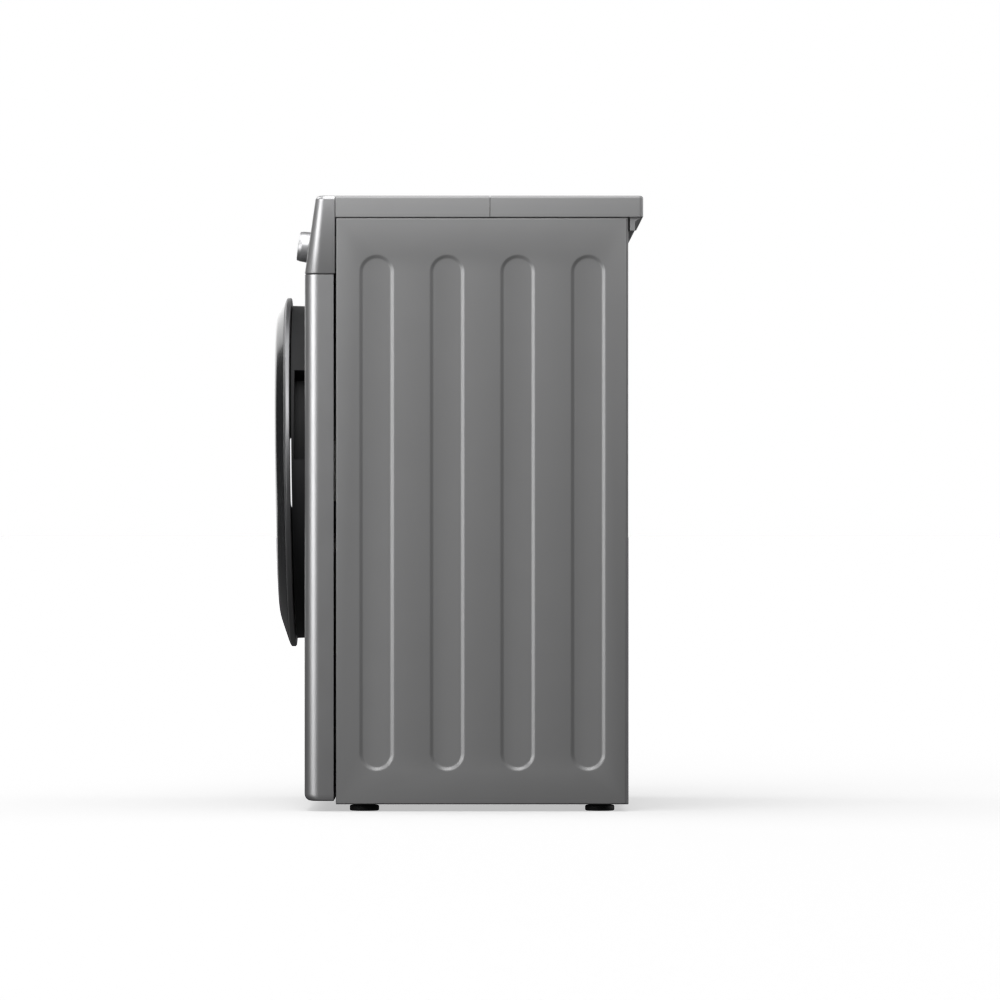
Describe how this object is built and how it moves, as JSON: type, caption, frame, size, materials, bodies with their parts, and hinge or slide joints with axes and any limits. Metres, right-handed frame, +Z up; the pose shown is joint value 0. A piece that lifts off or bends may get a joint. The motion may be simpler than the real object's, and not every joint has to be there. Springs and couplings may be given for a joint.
{
  "type": "washer dryer",
  "caption": "Slim full-height front-loading washer dryer with a round hinged door, sloped control panel, drawer, sprung tub, direct-drive drum and levelling feet.",
  "frame": {"origin": "centre of the bounding box at floor level, on the undersides of the feet", "axes": "+Z up, -Y out of the front with the door, +X to the right of someone facing the machine"},
  "size_m": [0.6, 0.5142, 0.85],
  "materials": {
    "coated_steel": "fine satin metallic paint on pressed steel",
    "front_steel": "darker satin coated steel with a soft sheen",
    "lid_plastic": "fine-grained painted moulding",
    "galvanised": "galvanised sheet, faintly spangled",
    "gloss_black": "high gloss black",
    "matt_black": "fine matt black",
    "satin_trim": "satin dark chrome look",
    "knob_metal": "spun aluminium",
    "tinted_glass": "tinted pressed glass",
    "grey_rubber": "soft grey rubber",
    "white_plastic": "moulded polypropylene",
    "stainless": "brushed stainless steel",
    "concrete": "cast concrete",
    "copper_winding": "enamelled copper wire on a laminated core",
    "cast_alloy": "die-cast aluminium",
    "rotor_steel": "pressed steel"
  },
  "bodies": {
    "cabinet": {"side_panel_right": "coated_steel", "side_panel_left": "coated_steel", "rear_panel": "galvanised", "rear_service_cover": "galvanised", "base_tray": "galvanised", "lid_front_frame": "lid_plastic", "lid_rear_frame": "lid_plastic", "lid_board": "lid_plastic", "front_panel": "front_steel", "control_panel": "front_steel", "display_window": "gloss_black", "control_board": "white_plastic", "dispenser_housing": "white_plastic", "door_hinge_plate": "galvanised", "door_lock": "white_plastic", "door_gasket": "grey_rubber", "damper_cylinder_left": "matt_black", "damper_cylinder_right": "matt_black", "suspension_spring_left": "galvanised", "suspension_spring_right": "galvanised", "drain_pump_housing": "white_plastic", "inlet_valve": "white_plastic", "mains_gland": "matt_black", "drain_outlet": "matt_black"},
    "tub": {"tub_front": "white_plastic", "tub_rear": "white_plastic", "counterweight": "concrete", "heater": "stainless", "stator": "copper_winding", "damper_rod_left": "stainless", "damper_rod_right": "stainless", "drying_duct": "galvanised"},
    "drum": {"drum_shell": "stainless", "drum_baffle_1": "white_plastic", "drum_baffle_2": "white_plastic", "drum_baffle_3": "white_plastic", "drum_spider": "cast_alloy", "rotor": "rotor_steel"},
    "drying_fan": {"drying_fan": "matt_black"},
    "pump_impeller": {"pump_impeller": "matt_black"},
    "door": {"door_outer_cover": "gloss_black", "door_window": "gloss_black", "door_trim_ring": "satin_trim", "door_inner_frame": "matt_black", "door_glass_bowl": "tinted_glass", "door_hinge_arm": "galvanised"},
    "door_hook": {"door_hook": "galvanised"},
    "drawer": {"drawer_tray": "white_plastic", "drawer_front": "front_steel"},
    "dial": {"dial_knob": "knob_metal"},
    "power_button": {"power_button": "knob_metal"},
    "start_button": {"start_button": "knob_metal"},
    "option_button_1": {"option_button_1": "knob_metal"},
    "option_button_2": {"option_button_2": "knob_metal"},
    "filter_flap": {"filter_flap": "front_steel"},
    "filter_cap": {"filter_cap": "matt_black"},
    "foot_1": {"levelling_foot_1": "matt_black"},
    "foot_2": {"levelling_foot_2": "matt_black"},
    "foot_3": {"levelling_foot_3": "matt_black"},
    "foot_4": {"levelling_foot_4": "matt_black"}
  },
  "joints": [
    {"name": "tub_bounce", "type": "slide", "parent": "cabinet", "child": "tub", "axis": [0, 0, 1], "range_m": [-0.01, 0.01], "stiffness_N_per_m": 12000, "springref_m": 0.01906, "deforming": ["suspension_spring_left", "suspension_spring_right", "door_gasket"]},
    {"name": "drum_spin", "type": "hinge", "parent": "tub", "child": "drum", "pos_m": [0, 0, 0.47], "axis": [0, 1, 0], "continuous": true},
    {"name": "drying_fan_spin", "type": "hinge", "parent": "tub", "child": "drying_fan", "pos_m": [0.12, 0.0397, 0.75], "axis": [0, 0, 1], "continuous": true},
    {"name": "pump_impeller_spin", "type": "hinge", "parent": "cabinet", "child": "pump_impeller", "pos_m": [0.22, -0.0803, 0.08], "axis": [0, 1, 0], "continuous": true},
    {"name": "door_swing", "type": "hinge", "parent": "cabinet", "child": "door", "pos_m": [-0.233, -0.2293, 0.47], "axis": [0, 0, -1], "range_deg": [0, 150]},
    {"name": "door_hook_rock", "type": "hinge", "parent": "door", "child": "door_hook", "pos_m": [0.218, -0.2093, 0.47], "axis": [0, 0, -1], "range_deg": [0, 6], "stiffness_Nm_per_rad": 0.2},
    {"name": "drawer_slide", "type": "slide", "parent": "cabinet", "child": "drawer", "axis": [0, -1, 0], "range_m": [0, 0.17]},
    {"name": "dial_turn", "type": "hinge", "parent": "cabinet", "child": "dial", "pos_m": [0, -0.20405, 0.78591], "axis": [0, -0.9895, 0.1444], "continuous": true},
    {"name": "power_button_press", "type": "slide", "parent": "cabinet", "child": "power_button", "axis": [0, 0.9895, -0.1444], "range_m": [0, 0.001], "stiffness_N_per_m": 600},
    {"name": "start_button_press", "type": "slide", "parent": "cabinet", "child": "start_button", "axis": [0, 0.9895, -0.1444], "range_m": [0, 0.001], "stiffness_N_per_m": 600},
    {"name": "option_button_1_press", "type": "slide", "parent": "cabinet", "child": "option_button_1", "axis": [0, 0.9895, -0.1444], "range_m": [0, 0.001], "stiffness_N_per_m": 600},
    {"name": "option_button_2_press", "type": "slide", "parent": "cabinet", "child": "option_button_2", "axis": [0, 0.9895, -0.1444], "range_m": [0, 0.001], "stiffness_N_per_m": 600},
    {"name": "filter_flap_fold", "type": "hinge", "parent": "cabinet", "child": "filter_flap", "pos_m": [0.22, -0.2099, 0.0365], "axis": [1, 0, 0], "range_deg": [0, 90]},
    {"name": "filter_cap_turn", "type": "hinge", "parent": "cabinet", "child": "filter_cap", "pos_m": [0.22, -0.1703, 0.08], "axis": [0, 1, 0], "range_deg": [0, 90]},
    {"name": "foot_1_extend", "type": "slide", "parent": "cabinet", "child": "foot_1", "axis": [0, 0, -1], "range_m": [0, 0.012]},
    {"name": "foot_2_extend", "type": "slide", "parent": "cabinet", "child": "foot_2", "axis": [0, 0, -1], "range_m": [0, 0.012]},
    {"name": "foot_3_extend", "type": "slide", "parent": "cabinet", "child": "foot_3", "axis": [0, 0, -1], "range_m": [0, 0.012]},
    {"name": "foot_4_extend", "type": "slide", "parent": "cabinet", "child": "foot_4", "axis": [0, 0, -1], "range_m": [0, 0.012]}
  ]
}
